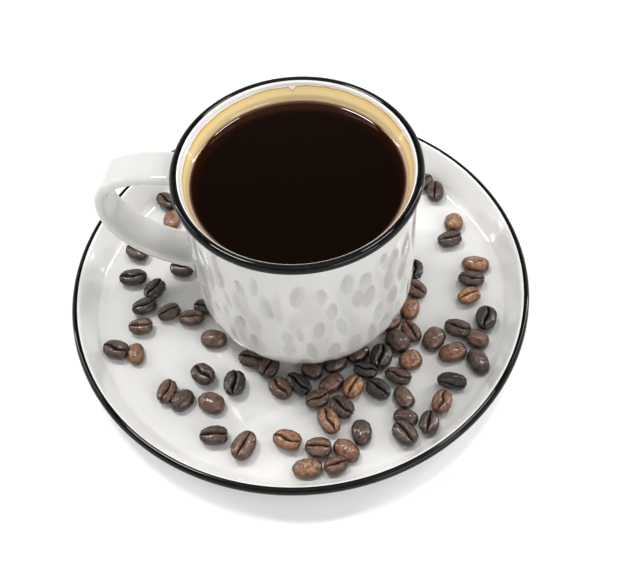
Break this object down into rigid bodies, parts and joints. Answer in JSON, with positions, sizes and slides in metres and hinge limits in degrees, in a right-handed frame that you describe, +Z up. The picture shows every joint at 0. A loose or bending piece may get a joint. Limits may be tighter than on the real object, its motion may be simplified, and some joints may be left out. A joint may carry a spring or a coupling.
{
  "type": "black coffee in a mug with saucer",
  "caption": "Round white mug of black coffee with a dark rim and strap handle, on a raised-wall saucer strewn with roasted coffee beans.",
  "frame": {"origin": "on the table plane under the middle of the saucer", "axes": "+Z up; the handle points close to -X; the front of the picture's view is -Y"},
  "size_m": [0.18, 0.18, 0.0814],
  "materials": {
    "saucer": "glossy white glaze with a black rim line",
    "cup": "glossy off-white glaze with petal dimples and a black rim",
    "coffee": "still black coffee, mirror smooth",
    "bean": "roasted, satin with a little oil"
  },
  "bodies": {
    "root": {"saucer": "saucer", "cup": "cup", "coffee": "coffee", "bean_01": "bean", "bean_02": "bean", "bean_03": "bean", "bean_04": "bean", "bean_05": "bean", "bean_06": "bean", "bean_07": "bean", "bean_08": "bean", "bean_09": "bean", "bean_10": "bean", "bean_11": "bean", "bean_12": "bean", "bean_13": "bean", "bean_14": "bean", "bean_15": "bean", "bean_16": "bean", "bean_17": "bean", "bean_18": "bean", "bean_19": "bean", "bean_20": "bean", "bean_21": "bean", "bean_22": "bean", "bean_23": "bean", "bean_24": "bean", "bean_25": "bean", "bean_26": "bean", "bean_27": "bean", "bean_28": "bean", "bean_29": "bean", "bean_30": "bean", "bean_31": "bean", "bean_32": "bean", "bean_33": "bean", "bean_34": "bean", "bean_35": "bean", "bean_36": "bean", "bean_37": "bean", "bean_38": "bean", "bean_39": "bean", "bean_40": "bean", "bean_41": "bean", "bean_42": "bean", "bean_43": "bean", "bean_44": "bean", "bean_45": "bean", "bean_46": "bean", "bean_47": "bean", "bean_48": "bean", "bean_49": "bean", "bean_50": "bean", "bean_51": "bean", "bean_52": "bean", "bean_53": "bean", "bean_54": "bean", "bean_55": "bean", "bean_56": "bean", "bean_57": "bean"}
  },
  "joints": []
}
